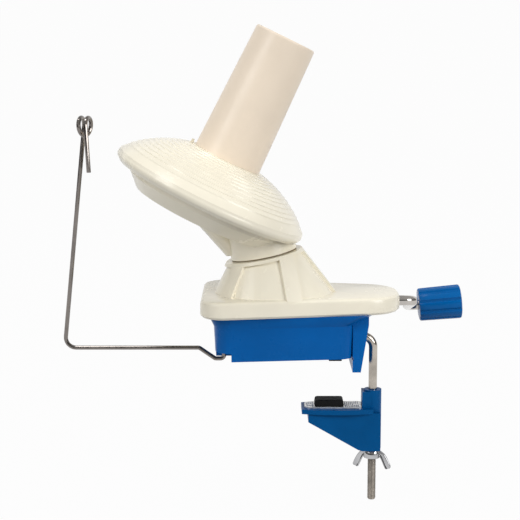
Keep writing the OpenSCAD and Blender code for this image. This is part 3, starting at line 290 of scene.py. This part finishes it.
def clamp_rod():
    """The bent rod with its thread cut on the lower half."""
    rings = []
    up, side, along = Vector((0, 0, 1)), Vector((0, 1, 0)), Vector((1, 0, 0))

    def ring(mid, a, radius):
        """A ring about mid, across the rod, whose radius may differ from point to point."""
        points = []
        for k in range(ROD_SIDES):
            turn = 2 * math.pi * k / ROD_SIDES
            points.append(MM * (mid + radius(k) * (math.cos(turn) * a + math.sin(turn) * side)))
        rings.append(points)

    def plain(r):
        return lambda k: r

    bend_x, bend_z = ROD_X - ROD_BEND, ROD_Z - ROD_BEND
    ring(Vector((rod_low.x, 0, ROD_Z)), up, plain(ROD_R - ROD_CHAMFER))
    for x in (rod_low.x + ROD_CHAMFER, RUN_X, bend_x):
        ring(Vector((x, 0, ROD_Z)), up, plain(ROD_R))
    for i in range(1, BEND_STEPS + 1):
        a = rad(90 - 90 * i / BEND_STEPS)
        out = math.cos(a) * along + math.sin(a) * up
        ring(Vector((bend_x, 0, bend_z)) + ROD_BEND * out, out, plain(ROD_R))
    for z in RUN_Z:
        ring(Vector((ROD_X, 0, z)), along, plain(ROD_R))
    for i in range(round((THREAD_TOP - rod_low.z) / THREAD_PITCH * THREAD_STEPS)):
        z = THREAD_TOP - i * THREAD_PITCH / THREAD_STEPS
        ease = min(1.0, (THREAD_TOP - z) / THREAD_RUN_IN)
        tip = max(0.0, 1 - (z - rod_low.z) / TIP_L)

        def cut(k, z=z, ease=ease, tip=tip):
            turn = (z / THREAD_PITCH + k / ROD_SIDES) % 1.0
            tooth = abs(2 * turn - 1)
            return ROD_R - THREAD_DEPTH * ease * tooth - TIP_CUT * tip

        ring(Vector((ROD_X, 0, z)), along, cut)
    ring(Vector((ROD_X, 0, rod_low.z)), along, plain(ROD_R - TIP_END_CUT))
    verts = [v for points in rings for v in points]
    faces = ring_faces(len(rings), ROD_SIDES)
    obj = add_mesh("threaded_rod", verts, faces, ROD, "frame", "clamp_rod")
    obj.data.materials.append(THREAD)
    for p in obj.data.polygons:
        if p.center.z < MM * THREAD_TOP:
            p.material_index = 1


# Crank knob

KNOB_GAP, KNOB_L, KNOB_R = 8.8, 31.0, 12.5
FLUTES, FLUTE_STEPS, FLUTE_DEPTH = 10, 14, 1.3
# Half of a groove's width, as a share of half the way from flute to flute
GROOVE_W = 0.42
PIN_HOLE, CAP_R, CAP_DEEP = 3.65, 7.1, 4.0
KNOB_CREASE = 35
# Height, radius and share of the flutes' depth, up the outside and down the bore
KNOB_PROFILE = [
    (0.0, 10.6, 0.0), (0.25, 11.5, 0.6), (1.0, 12.0, 1.0), (8.0, 12.15, 1.0), (20.0, 12.35, 1.0),
    (KNOB_L - 1.6, KNOB_R, 1.0), (KNOB_L - 0.5, KNOB_R - 0.3, 0.8), (KNOB_L, KNOB_R - 1.4, 0.2),
    (KNOB_L, CAP_R + 0.4, 0.0), (KNOB_L - 0.5, CAP_R, 0.0), (KNOB_L - CAP_DEEP, CAP_R, 0.0),
    (KNOB_L - CAP_DEEP, PIN_HOLE, 0.0), (0.0, PIN_HOLE, 0.0),
]


def crank_knob():
    """The fluted knob: narrow grooves, soft ends and a hollow for the retainer."""
    pin = joint("knob_spin")
    foot = Vector(pin["pos_m"]) / MM
    lean = math.atan2(pin["axis"][2], pin["axis"][0])
    place = (Matrix.Translation(foot) @ Matrix.Rotation(rad(90) - lean, 4, "Y")
             @ Matrix.Translation((0, 0, KNOB_GAP)))
    sides = FLUTES * FLUTE_STEPS
    verts = []
    for z, full_r, deep in KNOB_PROFILE:
        for k in range(sides):
            a = 2 * math.pi * k / sides
            from_groove = 1 - abs((k % FLUTE_STEPS) / FLUTE_STEPS - 0.5) * 2
            groove = max(0.0, 1 - (from_groove / GROOVE_W) ** 2)
            r = full_r - FLUTE_DEPTH * deep * groove
            verts.append(MM * (place @ Vector((r * math.cos(a), r * math.sin(a), z))))
    faces = closed_faces(len(KNOB_PROFILE), sides)
    obj = add_mesh("fluted_knob", verts, faces, KNOB, "knob", "crank_knob")
    crease(obj, KNOB_CREASE)


# Wing nut

NUT_TURN, HUB_SIDES, NUT_CREASE = -20.0, 36, 50
# Radius and height of the hub's section, below the nut's top
HUB_LOOP = [(3.1, 0.0), (4.9, 0.0), (5.3, -0.4), (5.7, -3.0), (6.1, -5.4), (5.8, -6.0), (3.4, -6.0),
            (3.1, -5.6)]
# Radius, height and half width along the middle of a wing
WING_SPINE = [(4.0, -2.6, 1.9), (6.0, -2.9, 2.0), (7.6, -4.2, 2.1), (8.9, -6.2, 2.25), (10.1, -8.6, 2.35),
              (11.1, -10.8, 2.4), (11.9, -12.6, 2.3), (12.2, -13.2, 1.9), (12.3, -13.5, 1.2)]
# Half thickness of a wing, and the half width below which it thins
WING_T, WING_THIN = 1.1, 2.0
# Share of the thickness that the dish takes, and its half width as a share of the wing's
WING_DISH, WING_RIM = 0.8, 0.8
# Power that takes the wing's section from an oval towards a rectangle
WING_SIDES, WING_SQUARE = 32, 0.5


def square_up(value):
    return math.copysign(abs(value) ** WING_SQUARE, value)


def wing_nut():
    """The pressed wing nut: a conical hub with two arched wings, each dished between its rims."""
    nut_top = box_mm("wing_nut")[1].z
    place = Matrix.Translation((ROD_X, 0, nut_top)) @ Matrix.Rotation(rad(NUT_TURN), 4, "Z")
    verts = []
    for r, z in HUB_LOOP:
        for k in range(HUB_SIDES):
            a = 2 * math.pi * k / HUB_SIDES
            verts.append(MM * (place @ Vector((r * math.cos(a), r * math.sin(a), z))))
    faces = closed_faces(len(HUB_LOOP), HUB_SIDES)
    for flip in (0, 180):
        turn = place @ Matrix.Rotation(rad(flip), 4, "Z")
        faces += ring_faces(len(WING_SPINE), WING_SIDES, len(verts))
        for i, (r, z, w) in enumerate(WING_SPINE):
            before, after = WING_SPINE[max(i - 1, 0)], WING_SPINE[min(i + 1, len(WING_SPINE) - 1)]
            run = Vector((after[0] - before[0], 0, after[1] - before[1])).normalized()
            across = Vector((-run.z, 0, run.x))
            thick = WING_T * min(1.0, w / WING_THIN)
            for k in range(WING_SIDES):
                a = 2 * math.pi * k / WING_SIDES
                px = square_up(math.cos(a)) * w
                hollow = WING_DISH * max(0.0, 1 - (px / (WING_RIM * w)) ** 2)
                py = square_up(math.sin(a)) * thick * (1 - hollow)
                verts.append(MM * (turn @ (Vector((r, 0, z)) + px * across + Vector((0, py, 0)))))
    obj = add_mesh("wing_nut_pressed", verts, faces, ZINC, "nut", "wing_nut")
    crease(obj, NUT_CREASE)


# Rubber pieces

CORNERS = ((1, 1), (-1, 1), (-1, -1), (1, -1))
CORNER_STEPS, EDGE_STEPS, RUBBER_CREASE = 9, 6, 40
PAD_EDGE, PAD_SLOPE = 1.2, 0.8
STRIP_W, STRIP_EDGE = 9.0, 0.4


def block_ring(mid, size, inset, edge, z):
    """A rectangle with round corners, drawn in by an inset."""
    points = []
    for corner, (sx, sy) in enumerate(CORNERS):
        x = mid[0] + sx * (size[0] / 2 - inset - edge)
        y = mid[1] + sy * (size[1] / 2 - inset - edge)
        for k in range(CORNER_STEPS):
            a = rad(90 * corner + 90 * k / (CORNER_STEPS - 1))
            points.append(MM * Vector((x + edge * math.cos(a), y + edge * math.sin(a), z)))
    return points


def rubber_blocks(name, node, body, spans, low, high, edge, slope=0.0):
    """Blocks with soft edges, each given by its middle and size in plan, whose sides may slope."""
    verts, faces = [], []
    per_ring = len(CORNERS) * CORNER_STEPS
    for mid, size in spans:
        faces += ring_faces(2 * EDGE_STEPS, per_ring, len(verts))
        for i in range(2 * EDGE_STEPS):
            a = rad(90 * (i % EDGE_STEPS) / (EDGE_STEPS - 1))
            rise, fall = edge * (1 - math.cos(a)), edge * (1 - math.sin(a))
            upper = i >= EDGE_STEPS
            z = high - fall if upper else low + rise
            inset = (rise if upper else fall) + slope * (z - low) / (high - low)
            verts += block_ring(mid, size, inset, edge, z)
    obj = add_mesh(name, verts, faces, BLACK, body, node)
    crease(obj, RUBBER_CREASE)


def jaw_pad():
    low, high = box_mm("jaw_pad")
    mid, size = (low + high) / 2, high - low
    rubber_blocks("jaw_pad_moulded", "jaw_pad", "clamp", [(mid, size)], low.z, high.z, PAD_EDGE, PAD_SLOPE)


def seat_strips():
    low, high = box_mm("seat_strips")
    spans = [((x, 0), (STRIP_W, high.y - low.y)) for x in (low.x + STRIP_W / 2, high.x - STRIP_W / 2)]
    rubber_blocks("seat_strips_moulded", "seat_strips", "frame", spans, low.z, high.z, STRIP_EDGE)


# Knurl on the jaw plate

KNURL_PITCH, KNURL_H, KNURL_FOOT, KNURL_SUNK = 1.3, 0.4, 0.96, 0.02
# Plain margins: at the plate's ends, its sides, the pad and round each rivet
KNURL_END, KNURL_SIDE, KNURL_PAD, KNURL_RIVET = 1.2, 1.7, 0.3, 2.2
# Size of the corners cut off the plate's free end, with their margin
KNURL_CORNER_X, KNURL_CORNER_Y = 5.0, 4.5
RIVET_R = 1.5


def knurl():
    """Small pyramids pressed into the jaw plate on both sides of the pad."""
    low, high = box_mm("jaw_plate")
    pad_low, pad_high = box_mm("jaw_pad")
    rivet_low, rivet_high = box_mm("jaw_rivets")
    rivets = (rivet_low.x + RIVET_R, rivet_high.x - RIVET_R)
    rows = int((high.y - low.y - 2 * KNURL_SIDE) / KNURL_PITCH)
    foot_z, h = high.z - KNURL_SUNK, KNURL_PITCH * KNURL_FOOT / 2
    corners = [(-h, -h, 0), (h, -h, 0), (h, h, 0), (-h, h, 0), (0, 0, KNURL_H)]
    sides = [(0, 1, 4), (1, 2, 4), (2, 3, 4), (3, 0, 4), (3, 2, 1, 0)]
    verts, faces = [], []
    for x0, x1 in ((low.x + KNURL_END, pad_low.x - KNURL_PAD), (pad_high.x + KNURL_PAD, high.x - KNURL_END)):
        for i in range(int((x1 - x0) / KNURL_PITCH)):
            for j in range(rows):
                x = x0 + KNURL_PITCH * (i + 0.5)
                y = low.y + KNURL_SIDE + KNURL_PITCH * (j + 0.5)
                cut_off = x < low.x + KNURL_CORNER_X and abs(y) > high.y - KNURL_CORNER_Y
                if cut_off or any(math.hypot(x - r, y) < KNURL_RIVET for r in rivets):
                    continue
                faces += [tuple(len(verts) + k for k in side) for side in sides]
                verts += [MM * Vector((x + dx, y + dy, foot_z + dz)) for dx, dy, dz in corners]
    add_mesh("jaw_knurl", verts, faces, PLATE, "clamp", smooth=False)


clamp_rod()
crank_knob()
wing_nut()
knurl()
jaw_pad()
seat_strips()


# Smooth shading of the faceted nodes

SMOOTH_ANGLE, JOIN_GAP = 28.0, 0.000002
SMOOTH_NODES = ["top_cover", "base_housing", "clamp_bracket", "crank_rod", "yarn_guide", "rotor_shell"]


def smooth_group():
    """Node tree that joins split points and shades smooth except at sharp edges."""
    tree = bpy.data.node_groups.new("smooth_by_angle", "GeometryNodeTree")
    tree.interface.new_socket("Geometry", in_out="INPUT", socket_type="NodeSocketGeometry")
    tree.interface.new_socket("Geometry", in_out="OUTPUT", socket_type="NodeSocketGeometry")
    start, end = tree.nodes.new("NodeGroupInput"), tree.nodes.new("NodeGroupOutput")
    drop = tree.nodes.new("GeometryNodeRemoveAttribute")
    drop.inputs["Name"].default_value = "custom_normal"
    join = tree.nodes.new("GeometryNodeMergeByDistance")
    join.inputs["Distance"].default_value = JOIN_GAP
    faces = tree.nodes.new("GeometryNodeSetShadeSmooth")
    edges = tree.nodes.new("GeometryNodeSetShadeSmooth")
    edges.domain = "EDGE"
    angle = tree.nodes.new("GeometryNodeInputMeshEdgeAngle")
    compare = tree.nodes.new("FunctionNodeCompare")
    compare.data_type, compare.operation = "FLOAT", "LESS_EQUAL"
    compare.inputs["B"].default_value = rad(SMOOTH_ANGLE)
    tree.links.new(angle.outputs["Unsigned Angle"], compare.inputs["A"])
    tree.links.new(compare.outputs["Result"], edges.inputs["Shade Smooth"])
    for a, b in ((start, drop), (drop, join), (join, faces), (faces, edges), (edges, end)):
        tree.links.new(a.outputs[0], b.inputs[0])
    return tree


smoothing = smooth_group()
for name in SMOOTH_NODES:
    frame["nodes"][name].modifiers.new("smooth_by_angle", "NODES").node_group = smoothing


# Stage, light and camera

FLOOR_GAP, FLOOR_HALF, WALL_Y, WALL_H = 0.0015, 6.0, 3.0, 4.0
COVE_R, COVE_STEPS = 1.0, 12
STAGE_GREY, STAGE_ROUGH = 0.4, 0.9
# Level of the white that camera rays see, and glossy rays on the stage
PAPER = 0.97
WORLD_STRENGTH, HORIZON, HORIZON_TOP = 0.52, 0.06, 0.6
AIM = Vector((-0.06, 0, 0.08))
# Place, side of the square and power of each lamp
LAMPS = {
    "key": ((-1.25, -1.0, 0.8), 0.6, 9),
    "fill": ((1.15, -1.05, 0.55), 0.8, 13.6),
    "top": ((-0.35, -0.15, 1.5), 0.5, 5.3),
}
CAMERA_PLACE, CAMERA_PITCH = (-0.0640, -0.9887, 0.2233), 81
CAMERA_LENS, CAMERA_SENSOR = 99, 36
CLIP_START, CLIP_END = 0.01, 50


def stage_material():
    """Pale grey in the light, and near white for camera and glossy rays."""
    mat, tree, shader, _ = node_mat("pale_stage")
    shader.inputs["Base Color"].default_value = rgba(STAGE_GREY)
    shader.inputs["Roughness"].default_value = STAGE_ROUGH
    glow = tree.nodes.new("ShaderNodeEmission")
    path = tree.nodes.new("ShaderNodeLightPath")
    seen = tree.nodes.new("ShaderNodeMath")
    seen.operation = "MAXIMUM"
    tree.links.new(path.outputs["Is Camera Ray"], seen.inputs[0])
    tree.links.new(path.outputs["Is Glossy Ray"], seen.inputs[1])
    share = tree.nodes.new("ShaderNodeMath")
    share.operation = "MULTIPLY"
    share.inputs[1].default_value = PAPER
    tree.links.new(seen.outputs[0], share.inputs[0])
    mix = tree.nodes.new("ShaderNodeMixShader")
    tree.links.new(share.outputs[0], mix.inputs["Fac"])
    tree.links.new(shader.outputs["BSDF"], mix.inputs[1])
    tree.links.new(glow.outputs["Emission"], mix.inputs[2])
    tree.links.new(mix.outputs["Shader"], tree.nodes["Material Output"].inputs["Surface"])
    return mat


def make_stage():
    """A floor that turns up into a back wall through a cove."""
    floor_z = cad_bounds[0][2] - FLOOR_GAP
    rows = [(-FLOOR_HALF, 0.0)]
    for i in range(COVE_STEPS + 1):
        a = rad(90 * i / COVE_STEPS)
        rows.append((WALL_Y + COVE_R * math.sin(a), COVE_R * (1 - math.cos(a))))
    rows.append((WALL_Y + COVE_R, WALL_H))
    verts = [(x, y, floor_z + z) for y, z in rows for x in (-FLOOR_HALF, FLOOR_HALF)]
    faces = [(a, a + 1, a + 3, a + 2) for a in range(0, len(verts) - 2, 2)]
    mesh = bpy.data.meshes.new("stage_floor")
    mesh.from_pydata(verts, [], faces)
    mesh.materials.append(stage_material())
    for p in mesh.polygons:
        p.use_smooth = True
    floor = bpy.data.objects.new("stage_floor", mesh)
    bpy.context.scene.collection.objects.link(floor)


def make_world():
    """A studio that is dark at the horizon and pale above, and near white for camera rays."""
    world = bpy.data.worlds.new("studio")
    bpy.context.scene.world = world
    world.use_nodes = True
    tree = world.node_tree
    back = tree.nodes["Background"]
    back.inputs["Strength"].default_value = WORLD_STRENGTH
    coord = tree.nodes.new("ShaderNodeTexCoord")
    split = tree.nodes.new("ShaderNodeSeparateXYZ")
    tree.links.new(coord.outputs["Generated"], split.inputs["Vector"])
    vary(tree, split.outputs["Z"], back.inputs["Color"], HORIZON, 1.0, (0.0, HORIZON_TOP))
    paper = tree.nodes.new("ShaderNodeBackground")
    paper.inputs["Color"].default_value = rgba(PAPER)
    path = tree.nodes.new("ShaderNodeLightPath")
    mix = tree.nodes.new("ShaderNodeMixShader")
    tree.links.new(path.outputs["Is Camera Ray"], mix.inputs["Fac"])
    tree.links.new(back.outputs["Background"], mix.inputs[1])
    tree.links.new(paper.outputs["Background"], mix.inputs[2])
    tree.links.new(mix.outputs["Shader"], tree.nodes["World Output"].inputs["Surface"])


def make_lamps():
    for name, (place, side, power) in LAMPS.items():
        lamp = bpy.data.lights.new(name, "AREA")
        lamp.shape = "SQUARE"
        lamp.size = side
        lamp.energy = power
        obj = bpy.data.objects.new(name, lamp)
        obj.location = place
        obj.rotation_euler = (AIM - Vector(place)).to_track_quat("-Z", "Y").to_euler()
        bpy.context.scene.collection.objects.link(obj)


def make_camera():
    cam = bpy.data.cameras.new("photo_camera")
    cam.sensor_width = CAMERA_SENSOR
    cam.lens = CAMERA_LENS
    cam.clip_start, cam.clip_end = CLIP_START, CLIP_END
    obj = bpy.data.objects.new("photo_camera", cam)
    obj.location = CAMERA_PLACE
    obj.rotation_euler = (rad(CAMERA_PITCH), 0, 0)
    bpy.context.scene.collection.objects.link(obj)
    bpy.context.scene.camera = obj


bpy.context.scene.view_settings.view_transform = "Standard"
make_stage()
make_world()
make_lamps()
make_camera()
